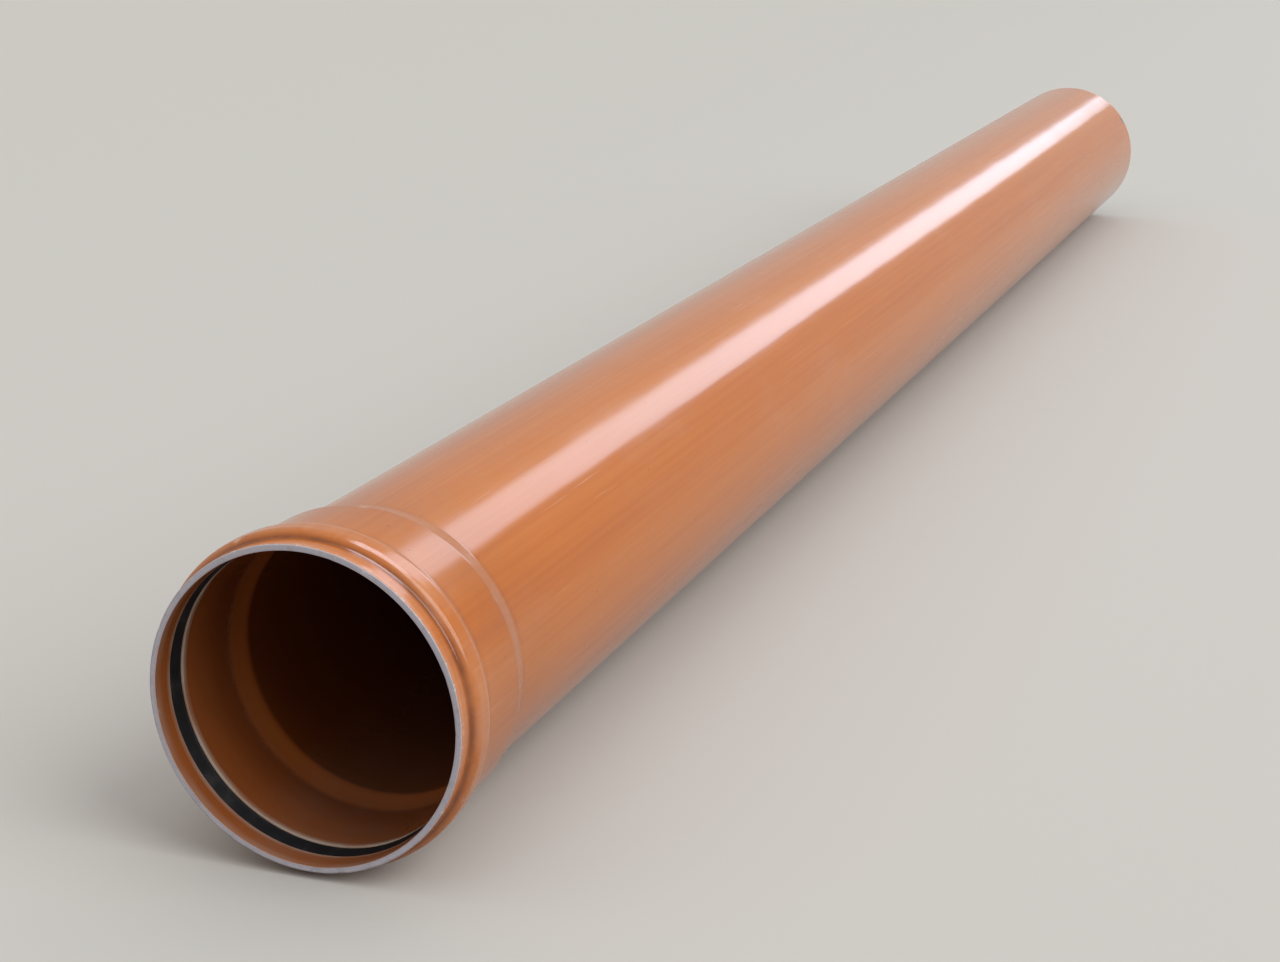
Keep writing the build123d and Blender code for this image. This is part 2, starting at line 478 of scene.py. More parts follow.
def nicked(outline, normals, corners, wear, segments):
    """
    The turned outline with small nicks in its edges: its points, its normals and how deep each lies.

    A nick lies on a corner whose inward direction is m. At the distances x along the outline and y
    round the pipe from its middle, it pushes the surface along m by D = depth f(x) g(y), where f and g
    are exp(-(x / reach) squared). With the unit tangents X along the outline and Y round the pipe, the
    normal N turns to N (1 + b D') - c (D' X + D* Y), where D' and D* are the slopes of D along x and y,
    b is m on X and c is m on N. Small nicks are commoner, because the depth grows with a cube.
    """
    rng = np.random.default_rng(wear.seed)
    count = wear.count
    corner = rng.choice(len(corners), count, p=corners[:, 5] / corners[:, 5].sum())
    depth = wear.depth * (wear.least_depth + (1 - wear.least_depth) * rng.random(count) ** 3)
    reach = wear.reach * (wear.least_reach + (1 - wear.least_reach) * rng.random((2, count)))
    reach[0] *= wear.across
    middle = rng.random(count) * 2 * np.pi

    loop = np.vstack([outline, outline[:1]])
    step = np.diff(loop, axis=0)
    along = np.concatenate([[0], np.cumsum(np.linalg.norm(step, axis=1))[:-1]])
    nearest = np.linalg.norm(outline[None] - corners[corner, None, :2], axis=2).argmin(axis=1)
    inward = -normals[nearest]
    x = (along - along[nearest][:, None]) / reach[0][:, None]
    turn = np.linspace(0, 2 * np.pi, segments, endpoint=False)
    y = (turn - middle[:, None] + np.pi) % (2 * np.pi) - np.pi
    y = y * corners[corner, :1] / reach[1][:, None]
    f, g = np.exp(-x ** 2), depth[:, None] * np.exp(-y ** 2)
    f_slope, g_slope = -2 * x * f / reach[0][:, None], -2 * y * g / reach[1][:, None]

    tangent = np.column_stack([normals[:, 1], -normals[:, 0]])
    tangent *= np.where((tangent * (step + np.roll(step, 1, axis=0))).sum(1) < 0, -1, 1)[:, None]
    b, c = inward @ tangent.T, inward @ normals.T
    push = np.einsum("kr,ks,kp->rsp", f, g, inward)
    straight = 1 + np.einsum("kr,kr,ks->rs", b, f_slope, g)
    lean_along = np.einsum("kr,kr,ks->rs", c, f_slope, g)
    lean_round = np.einsum("kr,kr,ks->rs", c, f, g_slope)
    facing = normals[:, None] * straight[..., None] - tangent[:, None] * lean_along[..., None]
    sideways = np.stack([np.cos(turn), np.zeros_like(turn), -np.sin(turn)], axis=-1)
    facing = spun(facing, segments) - sideways * lean_round[..., None]
    return spun(outline[:, None] + push, segments), facing, np.einsum("kr,ks->rs", f, g)


def blot(mark, rings=14, segments=64):
    """
    A closed spot of paint: rings out over its top and back under it, and a point at each pole.

    At the share q of the way out and the turn f, a point lies q w cos f half lengths along the pipe and
    q w sin f half widths round it, where w is 1 with small sines of two, three and five waves. The
    top's height is the film times (level + crown q^4 + pool p) (1 - q^8) - sunk q^8, where p is how much
    paint ran together there, which grows towards one side. The underside lies at sunk times the film in
    the wall. The rows are along, round, height and p.
    """
    level, crown, pool, sunk = 0.65, 0.2, 0.35, 0.25
    q = np.sin(np.linspace(0, np.pi / 2, rings + 1))
    f = np.linspace(0, 2 * np.pi, segments, endpoint=False)
    q, f = np.meshgrid(q, f, indexing="ij")
    wobble = 1 + 0.06 * np.sin(2 * f + 0.4) + 0.05 * np.sin(3 * f + 2.1) + 0.02 * np.sin(5 * f + 1.0)
    along, across = q * wobble * np.cos(f), q * wobble * np.sin(f)
    pooled = np.clip(0.35 - 0.7 * across - 0.55 * along, 0, 1)
    top = mark.film * ((level + crown * q ** 4 + pool * pooled) * (1 - q ** 8) - sunk * q ** 8)
    under = np.full_like(top, -sunk * mark.film)
    upper = np.stack([along * mark.length / 2, across * mark.width / 2, top, pooled])
    lower = np.stack([*upper[:2], under, pooled])
    rows = np.concatenate([upper[:, 1:], lower[:, -2:0:-1]], axis=1)
    poles = np.stack([upper[:, 0, 0], lower[:, 0, 0]], axis=1)
    column = np.arange(segments)
    beside = (column + 1) % segments
    last = (rows.shape[1] - 1) * segments
    pole = np.full(segments, rows.shape[1] * segments)
    faces = [
        grid_faces(rows.shape[1], segments)[:-segments],
        np.stack([pole, beside, column], axis=1),
        np.stack([pole + 1, last + column, last + beside], axis=1),
    ]
    return np.concatenate([rows.reshape(4, -1), poles], axis=1), faces


def add_attribute(piece, name, values):
    """Stores one number on each point, or one for each ring of points of equal size."""
    attribute = piece.data.attributes.new(name, "FLOAT", "POINT")
    per_value = len(attribute.data) // len(values)
    attribute.data.foreach_set("value", np.repeat(values, per_value).astype(np.float32))


def add_bake_map(piece, heights, segments):
    """
    Lays a turned surface out flat, as a map named OFBake to bake its finish on.

    Once round the pipe is the map's width, and each ring of faces takes its own height.
    """
    edge = np.concatenate([[0], np.cumsum(heights) / np.sum(heights)])
    row, column = np.meshgrid(np.arange(len(heights)), np.arange(segments), indexing="ij")
    across = np.stack([column, column + 1, column + 1, column], axis=-1) / segments
    up = edge[np.stack([row, row, row + 1, row + 1], axis=-1)]
    layer = piece.data.uv_layers.new(name="OFBake")
    layer.uv.foreach_set("vector", np.stack([across, up], axis=-1).astype(np.float32).ravel())


def runs(outline):
    """The distance from each point of a closed outline to the next."""
    return np.linalg.norm(np.roll(outline, -1, axis=0) - outline, axis=1)


def finish_of_rings(sizes, outline, normals):
    """
    The finish of each ring of faces: outside, bore or sawn.

    The sawn ones lie at the two ends and lean along the axis, and the bore's look at the axis.
    """
    least_lean = 0.2
    place = (outline[:, 1] + np.roll(outline[:, 1], -1)) / 2
    outward, along = unit(normals + np.roll(normals, -1, axis=0)).T
    sawn = (place < -sizes.socket_depth + sizes.lip_round) & (along < -least_lean)
    sawn |= (place > sizes.laying_length - sizes.bevel_length) & (along > least_lean)
    return np.where(sawn, SAWN, np.where(outward < 0, BORE, OUTSIDE))


def map_heights(sizes, outline, finish):
    """Each ring's height in the bake's map: its run, magnified most if sawn and least in the plain bore."""
    sawn_scale, formed_scale, barrel_scale, bore_scale = 40, 14, 2, 1
    long_run = 30 * MM
    run = runs(outline)
    place = (outline[:, 1] + np.roll(outline[:, 1], -1)) / 2
    plain = (place > sizes.root_length) & (run > long_run)
    plain_scale = np.where(finish == BORE, bore_scale, barrel_scale)
    return run * np.where(finish == SAWN, sawn_scale, np.where(plain, plain_scale, formed_scale))


# Finishes

def linear(hex_colour):
    """An sRGB hex colour as linear RGBA."""
    srgb = np.array([int(hex_colour[i:i + 2], 16) for i in (1, 3, 5)]) / 255
    rgb = np.where(srgb <= 0.04045, srgb / 12.92, ((srgb + 0.055) / 1.055) ** 2.4)
    return (*rgb.tolist(), 1.0)


def add(tree, kind, inputs=None, **settings):
    """
    Adds a node with its settings and links.

    An input is named by its name or number, and takes a value, a socket or a node's first output.
    """
    node = tree.nodes.new(kind)
    for name, value in settings.items():
        setattr(node, name, value)
    for key, value in (inputs or {}).items():
        socket = node.inputs[key] if isinstance(key, int) else next(
            s for s in node.inputs if s.enabled and s.name == key
        )
        if isinstance(value, bpy.types.Node):
            value = next(s for s in value.outputs if s.enabled)
        if isinstance(value, bpy.types.NodeSocket):
            tree.links.new(value, socket)
        else:
            socket.default_value = value
    return node


def new_material(name, *attributes):
    """A node material, its tree, the Object coordinates, and each named attribute of the mesh."""
    material = bpy.data.materials.new(name)
    material.use_nodes = True
    tree = material.node_tree
    tree.nodes.clear()
    place = add(tree, "ShaderNodeTexCoord").outputs["Object"]
    values = [add(tree, "ShaderNodeAttribute", attribute_name=each).outputs["Fac"] for each in attributes]
    return material, tree, place, *values


def scratched(tree, place, pattern):
    """
    Scratches in some fields of the skin, 80 times as long as wide: a set along the pipe and a slanting one.

    Real ones are a tenth of a millimetre wide. These are drawn coarse, so that they show.
    """
    both = []
    for turn in ((0.0, 0.0, 0.0), (0.1, 0.0, 0.16)):
        lines = add(tree, "ShaderNodeMapping", {"Vector": place, "Rotation": turn, "Scale": (1, 1 / 80, 1)})
        lines = add(tree, "ShaderNodeTexNoise", {"Vector": lines, "Scale": 1 / pattern.scratch, "Detail": 1})
        lines = add(tree, "ShaderNodeMapRange", {"Value": lines, "From Min": 0.74, "From Max": 0.79})
        both.append(lines)
    either = add(tree, "ShaderNodeMath", {0: both[0], 1: both[1]}, operation="MAXIMUM")
    fields = add(tree, "ShaderNodeTexNoise", {"Vector": place, "Scale": 1 / pattern.scratched, "Detail": 2})
    fields = add(
        tree, "ShaderNodeMapRange", {"Value": fields, "From Min": 0.5, "From Max": 0.66, "To Max": 0.4}
    )
    return add(tree, "ShaderNodeMath", {0: either, 1: fields}, operation="MULTIPLY")


def specked(tree, place, pattern):
    """Specks of dirt 2 to 3 mm wide, at those points of a cell pattern that the skin passes through."""
    cells = add(tree, "ShaderNodeTexVoronoi", {"Vector": place, "Scale": 1 / pattern.speck}).outputs
    specks = add(
        tree, "ShaderNodeMapRange",
        {"Value": cells["Distance"], "From Min": 0.05, "From Max": 0.025, "To Max": 0.7},
    )
    chosen = add(tree, "ShaderNodeSeparateColor", {0: cells["Color"]}).outputs[0]
    chosen = add(tree, "ShaderNodeMath", {0: chosen, 1: 0.55}, operation="GREATER_THAN")
    return add(tree, "ShaderNodeMath", {0: specks, 1: chosen}, operation="MULTIPLY")


def pvc_outside(settings):
    """
    PVC-U drawn hot through a sizing sleeve and weathered outdoors.

    The sleeve leaves a satin gloss with fine lines along the pipe. Sun and rain leave a chalky,
    pinkish film in patches, strongest on the socket. Raised edges are rubbed pale by handling, the
    hollows hold damp dirt darkened further as painted shade, and the belled end keeps faint rings from its
    mandrel.
    """
    finish, pattern = settings.finish, settings.pattern
    material, tree, place, rubbed, hollow_shade_and_dirt = new_material("extruded_pvc_u", "rubbed", "hollow_shade_and_dirt")
    along = add(tree, "ShaderNodeSeparateXYZ", {0: place}).outputs["Y"]
    normal = add(tree, "ShaderNodeNewGeometry").outputs["Normal"]
    up = add(tree, "ShaderNodeSeparateXYZ", {0: normal}).outputs["Z"]

    # Streaks 90 times as long as wide: broad ones, and the sleeve's lines, drawn coarse so that they show
    drawn = add(tree, "ShaderNodeMapping", {"Vector": place, "Scale": (1, 1 / 90, 1)})
    broad = add(
        tree, "ShaderNodeTexNoise",
        {"Vector": drawn, "Scale": 1 / pattern.broad_streak, "Detail": 3, "Roughness": 0.55},
    )
    fine = add(
        tree, "ShaderNodeTexNoise",
        {"Vector": drawn, "Scale": 1 / pattern.fine_streak, "Detail": 3, "Roughness": 0.6},
    )
    streaks = add(tree, "ShaderNodeMix", {"Factor": 0.4, 2: broad, 3: fine})
    deep = add(tree, "ShaderNodeMapRange", {"Value": streaks, "From Min": 0.5, "From Max": 0.28})
    pale = add(tree, "ShaderNodeMapRange", {"Value": streaks, "From Min": 0.5, "From Max": 0.78})

    # Chalky film in patches three times as long as wide, a little more of it to 0.3 m behind the seat
    patches = add(tree, "ShaderNodeMapping", {"Vector": place, "Scale": (1, 1 / 3, 1)})
    patches = add(
        tree, "ShaderNodeTexNoise",
        {"Vector": patches, "Scale": 1 / pattern.film_patch, "Detail": 5, "Roughness": 0.6},
    )
    socket = add(
        tree, "ShaderNodeMapRange", {"Value": along, "From Min": 0.30, "From Max": -0.02, "To Max": 0.08},
        interpolation_type="SMOOTHSTEP",
    )
    film = add(tree, "ShaderNodeMath", {0: patches, 1: socket}, operation="ADD")
    film = add(
        tree, "ShaderNodeMapRange", {"Value": film, "From Min": 0.5, "From Max": 0.9, "To Max": 0.22},
        interpolation_type="SMOOTHSTEP",
    )

    # Dust settled in clouds on the upper side
    clouds = add(
        tree, "ShaderNodeTexNoise",
        {"Vector": place, "Scale": 1 / pattern.cloud, "Detail": 6, "Roughness": 0.65},
    )
    settled = add(tree, "ShaderNodeMapRange", {"Value": up, "From Min": 0.6, "From Max": 1.0, "To Max": 0.12})
    settled = add(tree, "ShaderNodeMath", {0: settled, 1: clouds}, operation="MULTIPLY")

    # Bare plastic where an edge is rubbed, broken up by the clouds, and in the scratches
    broken = add(tree, "ShaderNodeMapRange", {"Value": clouds, "From Min": 0.3, "From Max": 0.7})
    bare = add(tree, "ShaderNodeMath", {0: rubbed, 1: broken}, operation="MULTIPLY")
    scratches = scratched(tree, place, pattern)
    bare = add(tree, "ShaderNodeMath", {0: bare, 1: scratches}, operation="MAXIMUM")

    # Dirt and painted shade in the hollows, broken up by the clouds, and dirt alone in the specks
    shade_and_grime = add(
        tree, "ShaderNodeMapRange", {"Value": clouds, "From Min": 0.25, "From Max": 0.6, "To Min": 0.4}
    )
    shade_and_grime = add(tree, "ShaderNodeMath", {0: hollow_shade_and_dirt, 1: shade_and_grime}, operation="MULTIPLY")
    specks = specked(tree, place, pattern)
    shade_and_grime = add(tree, "ShaderNodeMath", {0: shade_and_grime, 1: specks}, operation="MAXIMUM")

    # The colours, each over the one before
    skin = linear(finish.pvc)
    for layer, tint in (
        (deep, finish.pvc_deep), (pale, finish.pvc_pale), (film, finish.bloom), (settled, finish.dust),
        (bare, finish.scuff), (shade_and_grime, finish.dirt),
    ):
        skin = add(tree, "ShaderNodeMix", {"Factor": layer, "A": skin, "B": linear(tint)}, data_type="RGBA")

    # Film, dust and wear dull the gloss
    rough = add(
        tree, "ShaderNodeMapRange",
        {"Value": streaks, "From Min": 0.3, "From Max": 0.7, "To Min": 0.10, "To Max": 0.16},
    )
    for dull, weight in ((film, 0.35), (settled, 0.6), (bare, 0.3)):
        rough = add(tree, "ShaderNodeMath", {0: dull, 1: weight, 2: rough}, operation="MULTIPLY_ADD")

    # Relief with its depth in millimetres: waves, the sleeve's lines, orange peel, the mandrel's rings and
    # bare spots. The peel and the rings are drawn coarse, so that they show.
    waves = add(tree, "ShaderNodeMapping", {"Vector": place, "Scale": (1, 0.4, 1)})
    waves = add(tree, "ShaderNodeTexNoise", {"Vector": waves, "Scale": 1 / pattern.wave, "Detail": 1})
    peel = add(tree, "ShaderNodeTexNoise", {"Vector": place, "Scale": 1 / pattern.peel, "Detail": 2})
    rings = add(tree, "ShaderNodeMapping", {"Vector": place, "Scale": (0.04, 1, 0.04)})
    rings = add(tree, "ShaderNodeTexNoise", {"Vector": rings, "Scale": 1 / pattern.mandrel_ring, "Detail": 2})
    belled = add(tree, "ShaderNodeMapRange", {"Value": along, "From Min": 0.07, "From Max": 0.0})
    rings = add(tree, "ShaderNodeMath", {0: rings, 1: belled}, operation="MULTIPLY")
    relief = {}
    for height, depth, sunk in (
        (waves, 1.2, False), (fine, 0.015, False), (peel, 0.02, False), (rings, 0.04, False),
        (bare, 0.05, True),
    ):
        bump = add(tree, "ShaderNodeBump", {"Height": height, "Distance": depth * MM, **relief}, invert=sunk)
        relief = {"Normal": bump}

    shader = add(
        tree, "ShaderNodeBsdfPrincipled", {"Base Color": skin, "Roughness": rough, "IOR": 1.53, **relief}
    )
    add(tree, "ShaderNodeOutputMaterial", {"Surface": shader})
    return material


def pvc_bore(settings):
    """
    PVC-U cooled in air from within: even in colour, a little duller than the skin, and darker than it as
    painted shade.

    The barrel behind the root cone is darker still, as painted shade, and the cone is paler, as painted
    light. Dust lies thinly along the bottom, thicker near the mouth, and, with a painted highlight, as a pale
    line on the edges of the seal groove. Damp dirt with painted shade darkens the groove and the foot of the
    root cone.
    """
    finish, pattern, root = settings.finish, settings.pattern, settings.pipe.root_length
    material, tree, place, rubbed, hollow_shade_and_dirt = new_material("bore_of_pvc_u", "rubbed", "hollow_shade_and_dirt")
    along = add(tree, "ShaderNodeSeparateXYZ", {0: place}).outputs["Y"]
    normal = add(tree, "ShaderNodeNewGeometry").outputs["Normal"]
    up = add(tree, "ShaderNodeSeparateXYZ", {0: normal}).outputs["Z"]

    # Rings from the calibrating air, and clouds
    rings = add(tree, "ShaderNodeMapping", {"Vector": place, "Scale": (0.1, 1, 0.1)})
    rings = add(tree, "ShaderNodeTexNoise", {"Vector": rings, "Scale": 1 / pattern.air_ring, "Detail": 3})
    clouds = add(tree, "ShaderNodeTexNoise", {"Vector": place, "Scale": 1 / pattern.bore_cloud, "Detail": 2})
    tone = add(tree, "ShaderNodeMix", {"Factor": 0.3, 2: rings, 3: clouds})
    tone = add(tree, "ShaderNodeMapRange", {"Value": tone, "From Min": 0.3, "From Max": 0.7})

    # Painted shade over the barrel from the cone's end, and painted light on the cone by its distance from
    # the cone's middle
    behind = add(
        tree, "ShaderNodeMapRange",
        {"Value": along, "From Min": root - 3 * MM, "From Max": root + 3 * MM, "To Max": 0.8},
    )
    cone = add(tree, "ShaderNodeMath", {0: along, 1: root / 2}, operation="SUBTRACT")
    cone = add(tree, "ShaderNodeMath", {0: cone}, operation="ABSOLUTE")
    cone = add(
        tree, "ShaderNodeMapRange",
        {"Value": cone, "From Min": root / 2 + 1 * MM, "From Max": root / 2 - 6 * MM, "To Max": 0.85},
    )

    # Dust thins out with height and with depth behind the mouth
    low = add(tree, "ShaderNodeMapRange", {"Value": up, "From Min": 0.75, "From Max": 1.0, "To Max": 0.2})
    shallow = add(
        tree, "ShaderNodeMapRange", {"Value": along, "From Min": 1.0, "From Max": -0.1, "To Min": 0.2}
    )
    smear = add(tree, "ShaderNodeMapRange", {"Value": clouds, "From Min": 0.05, "From Max": 0.95})
    dust = add(tree, "ShaderNodeMath", {0: low, 1: shallow}, operation="MULTIPLY")
    dust = add(tree, "ShaderNodeMath", {0: dust, 1: smear}, operation="MULTIPLY")
    # Dust with a painted highlight, as a pale line on the rubbed edges of the seal groove
    edge = add(
        tree, "ShaderNodeMapRange", {"Value": clouds, "From Min": 0.25, "From Max": 0.55, "To Min": 0.35}
    )
    edge = add(tree, "ShaderNodeMath", {0: rubbed, 1: edge}, operation="MULTIPLY")
    dust = add(tree, "ShaderNodeMath", {0: dust, 1: edge}, operation="MAXIMUM")

    # The colours, each over the one before: the bore darkened as painted shade, its random rings and clouds,
    # the barrel's painted shade, the cone's painted light, dirt with painted shade in the hollows, and dust
    # with the groove edges' painted highlight
    skin = linear(finish.bore)
    for layer, tint in (
        (tone, finish.bore_deep), (behind, finish.bore_barrel_shade), (cone, finish.bore_cone_light),
        (hollow_shade_and_dirt, finish.dirt), (dust, finish.dust),
    ):
        skin = add(tree, "ShaderNodeMix", {"Factor": layer, "A": skin, "B": linear(tint)}, data_type="RGBA")

    rough = add(tree, "ShaderNodeMath", {0: dust, 1: 0.35, 2: 0.26}, operation="MULTIPLY_ADD")
    relief = add(tree, "ShaderNodeBump", {"Height": rings, "Distance": 0.4 * MM})
    shader = add(
        tree, "ShaderNodeBsdfPrincipled",
        {"Base Color": skin, "Roughness": rough, "IOR": 1.53, "Normal": relief},
    )
    add(tree, "ShaderNodeOutputMaterial", {"Surface": shader})
    return material


def pvc_sawn(settings):
    """
    The wall sawn through and bevelled by a cutter, matt, with the cutter's fine rings.

    A grey core shows between the two coloured skins, with white chips and smears of dirt.
    """
    finish, pattern = settings.finish, settings.pattern
    material, tree, place, rubbed, under_outside, under_bore = new_material(
        "sawn_pvc_u", "rubbed", "under_outside", "under_bore"
    )

    # The skins reach from either face to a depth in millimetres that wanders by a quarter
    wander = add(tree, "ShaderNodeTexNoise", {"Vector": place, "Scale": 1 / pattern.wander, "Detail": 3})
    skin = add(
        tree, "ShaderNodeMapRange",
        {"Value": wander, "From Min": 0.3, "From Max": 0.7,
         "To Min": 0.7 * finish.skin / MM, "To Max": 1.2 * finish.skin / MM},
    )
    depth = add(tree, "ShaderNodeMath", {0: under_outside, 1: under_bore}, operation="MINIMUM")
    depth = add(tree, "ShaderNodeMath", {0: depth, 1: skin}, operation="SUBTRACT")
    skin = add(tree, "ShaderNodeMapRange", {"Value": depth, "From Min": 0.12, "From Max": -0.12})

    # Cutter rings: noise of the depth in the wall, which wanders a little round the pipe
    across = add(
        tree, "ShaderNodeMath", {0: under_outside, 1: MM / pattern.cutter_ring}, operation="MULTIPLY"
    )
    drift = add(tree, "ShaderNodeMath", {0: wander, 1: 1.5}, operation="MULTIPLY")
    rings = add(tree, "ShaderNodeCombineXYZ", {0: across, 1: drift})
    rings = add(tree, "ShaderNodeTexNoise", {"Vector": rings, "Scale": 1.0, "Detail": 3})
    swarf = add(tree, "ShaderNodeMapRange", {"Value": rings, "From Min": 0.35, "From Max": 0.7})

    # Smears of dirt, and chips along the edges
    blotch = add(
        tree, "ShaderNodeTexNoise",
        {"Vector": place, "Scale": 1 / pattern.blotch, "Detail": 6, "Roughness": 0.7},
    )
    soiled = add(
        tree, "ShaderNodeMapRange", {"Value": blotch, "From Min": 0.52, "From Max": 0.72, "To Max": 0.5}
    )
    chips = add(tree, "ShaderNodeTexNoise", {"Vector": place, "Scale": 1 / pattern.chip, "Detail": 2})
    chips = add(tree, "ShaderNodeMapRange", {"Value": chips, "From Min": 0.6, "From Max": 0.66})
    chips = add(tree, "ShaderNodeMath", {0: chips, 1: rubbed}, operation="MULTIPLY")

    # The colours, each over the one before
    face = linear(finish.core)
    for layer, tint in (
        (swarf, finish.core_pale), (soiled, finish.core_soiled), (skin, finish.pvc_pale),
        (chips, finish.core_pale),
    ):
        face = add(tree, "ShaderNodeMix", {"Factor": layer, "A": face, "B": linear(tint)}, data_type="RGBA")

    relief = add(tree, "ShaderNodeBump", {"Height": rings, "Distance": 0.12 * MM})
    relief = add(tree, "ShaderNodeBump", {"Height": blotch, "Distance": 0.2 * MM, "Normal": relief})
    shader = add(
        tree, "ShaderNodeBsdfPrincipled",
        {"Base Color": face, "Roughness": 0.68, "IOR": 1.5, "Normal": relief},
    )
    add(tree, "ShaderNodeOutputMaterial", {"Surface": shader})
    return material


def epdm_rubber(settings):
    """EPDM rubber, extruded and joined to a ring: matt, bluish black, with fine lines and a little dust."""
    finish, pattern = settings.finish, settings.pattern
    material, tree, place = new_material("epdm_rubber")
    lines = add(tree, "ShaderNodeMapping", {"Vector": place, "Scale": (0.02, 1, 0.02)})
    lines = add(tree, "ShaderNodeTexNoise", {"Vector": lines, "Scale": 1 / pattern.rubber_line, "Detail": 3})
    clouds = add(
        tree, "ShaderNodeTexNoise",
        {"Vector": place, "Scale": 1 / pattern.rubber_cloud, "Detail": 6, "Roughness": 0.7},
    )
    dust = add(tree, "ShaderNodeMapRange", {"Value": clouds, "From Min": 0.5, "From Max": 0.8, "To Max": 0.5})
    black = add(
        tree, "ShaderNodeMix", {"Factor": dust, "A": linear(finish.rubber), "B": linear(finish.rubber_dust)},
        data_type="RGBA",
    )
    rough = add(
        tree, "ShaderNodeMapRange",
        {"Value": clouds, "From Min": 0.3, "From Max": 0.7, "To Min": 0.48, "To Max": 0.66},
    )
    relief = add(tree, "ShaderNodeBump", {"Height": lines, "Distance": 0.08 * MM})
    shader = add(
        tree, "ShaderNodeBsdfPrincipled",
        {"Base Color": black, "Roughness": rough, "IOR": 1.5, "Normal": relief},
    )
    add(tree, "ShaderNodeOutputMaterial", {"Surface": shader})
    return material


def dried_paint(settings):
    """Marking paint, dabbed on and dried: a glossy film, thicker where it ran together, and darker towards
    one side and in clouds.
    """
    finish, pattern = settings.finish, settings.pattern
    material, tree, place, pooled = new_material("marking_paint", "pooled")
    clouds = add(tree, "ShaderNodeTexNoise", {"Vector": place, "Scale": 1 / pattern.paint_cloud, "Detail": 3})
    # Darker towards one side, where the film is also thicker, and in clouds
    thick = add(tree, "ShaderNodeMath", {0: clouds, 1: 0.5, 2: pooled}, operation="MULTIPLY_ADD")
    thick = add(tree, "ShaderNodeMapRange", {"Value": thick, "From Min": 0.6, "From Max": 1.0})
    film = add(
        tree, "ShaderNodeMix", {"Factor": thick, "A": linear(finish.paint), "B": linear(finish.paint_dark)},
        data_type="RGBA",
    )
    relief = add(tree, "ShaderNodeBump", {"Height": clouds, "Distance": 0.1 * MM})
    shader = add(
        tree, "ShaderNodeBsdfPrincipled",
        {"Base Color": film, "Roughness": 0.28, "IOR": 1.5, "Normal": relief},
    )
    add(tree, "ShaderNodeOutputMaterial", {"Surface": shader})
    return material


# Pieces

class PIPE_OT_turn_pipe(Operator):
    """Turn the barrel with its socket, and give each part of its skin its finish"""

    bl_idname = "pipe.turn_pipe"
    bl_label = "Pipe"

    def execute(self, context):
        settings = context.scene.sewer_pipe
        sizes, wear = settings.pipe, settings.wear
        corners = pipe_outline(sizes)
        outline, normals = divided(*rounded(corners), sizes.ring_gap, sizes.end_gap)
        points, facing, depth = nicked(outline, normals, corners, wear, sizes.segments)
        piece = turned("pvc_pipe", points, facing)
        # How rubbed each point is, and its dirt with painted shade in the hollows
        rubbed, hollow_shade_and_dirt = worn(outline, corners, wear.fade)
        bare = np.clip(depth / (wear.bare_depth * wear.depth), 0, 1)
        add_attribute(piece, "rubbed", np.maximum(rubbed[:, None], bare).ravel())
        add_attribute(piece, "hollow_shade_and_dirt", hollow_shade_and_dirt)

        # How deep in the wall each point of the sawn ends lies, in millimetres
        radius, place = outline.T
        at_mouth = place < 0
        collar_bore = sizes.radius + sizes.collar_gap
        outside = np.where(at_mouth, collar_bore + sizes.collar_wall, sizes.radius)
        inside = np.where(at_mouth, collar_bore, sizes.bore)
        add_attribute(piece, "under_outside", (outside - radius) / MM)
        add_attribute(piece, "under_bore", (radius - inside) / MM)

        for make in (pvc_outside, pvc_bore, pvc_sawn):
            piece.data.materials.append(make(settings))
        finish = finish_of_rings(sizes, outline, normals)
        piece.data.polygons.foreach_set("material_index", np.repeat(finish, sizes.segments).astype(np.int32))
        add_bake_map(piece, map_heights(sizes, outline, finish), sizes.segments)

        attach(piece, BODY)
        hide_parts("pipe")
        return {"FINISHED"}


class PIPE_OT_turn_seal(Operator):
    """Turn the rubber lip seal in its groove"""

    bl_idname = "pipe.turn_seal"
    bl_label = "Rubber seal"

    def execute(self, context):
        settings = context.scene.sewer_pipe
        seal = settings.seal
        outline, normals = rounded(seal_outline(settings.pipe, seal))
        piece = turned("rubber_seal", spun(outline, seal.segments), spun(normals, seal.segments))
        add_bake_map(piece, runs(outline), seal.segments)
        piece.data.materials.append(epdm_rubber(settings))
        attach(piece, BODY)
        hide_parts("seal_ring")
        return {"FINISHED"}


class PIPE_OT_paint_mark(Operator):
    """Dab the works' check mark on the plain wall near the spigot"""

    bl_idname = "pipe.paint_mark"
    bl_label = "Check mark"

    def execute(self, context):
        settings = context.scene.sewer_pipe
        sizes, mark = settings.pipe, settings.mark
        (along, across, height, pooled), faces = blot(mark)
        turn = mark.turn + across / sizes.radius
        radius = sizes.radius + height
        place = sizes.laying_length - mark.from_end + along
        points = np.stack([radius * np.sin(turn), place, radius * np.cos(turn)], axis=1)
        piece = new_mesh("check_mark", points, faces)
        add_attribute(piece, "pooled", pooled)
        piece.data.materials.append(dried_paint(settings))
        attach(piece, BODY)
        return {"FINISHED"}


# Studio

def plain_rays(tree):
    """1 for rays that show the floor and backdrop as they are coloured, 0 for those that light by them."""
    rays = add(tree, "ShaderNodeLightPath").outputs
    seen = rays["Is Camera Ray"]
    for name in ("Is Glossy Ray", "Is Transmission Ray"):
        seen = add(tree, "ShaderNodeMath", {0: seen, 1: rays[name]}, operation="MAXIMUM")
    return seen


